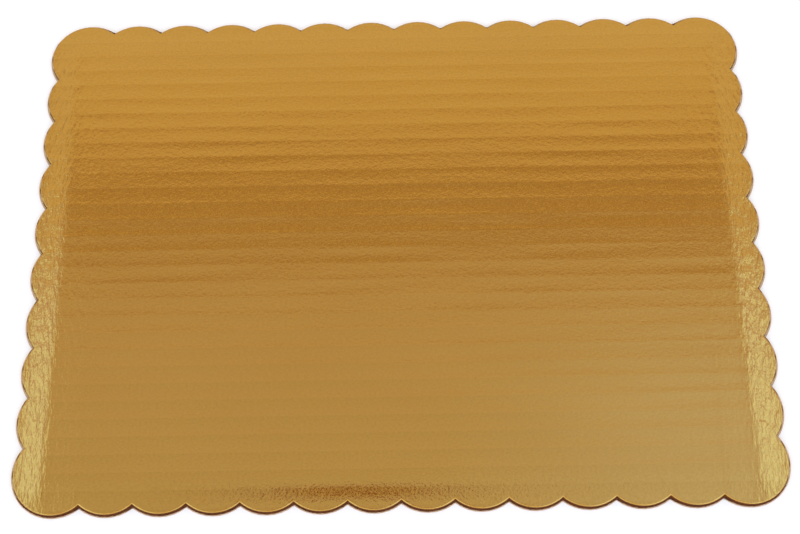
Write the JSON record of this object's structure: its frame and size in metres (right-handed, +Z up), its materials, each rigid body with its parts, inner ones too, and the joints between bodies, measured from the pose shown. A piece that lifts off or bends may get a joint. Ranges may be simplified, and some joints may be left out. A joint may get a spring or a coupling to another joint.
{
  "type": "cake board",
  "caption": "Rectangular corrugated card cake board with a gold foil face, crushed rim and scalloped die-cut edge; it lies flat and carries a sheet cake.",
  "frame": {"origin": "middle of the flat underside", "axes": "+X along the long side and along the flutes, +Y from the front long side to the back one, +Z up through the foil face"},
  "size_m": [0.3556, 0.254, 0.004],
  "materials": {
    "gold_foil": "satin",
    "kraft_board": "matte"
  },
  "bodies": {
    "root": {"cake_board": "gold_foil"}
  },
  "joints": []
}
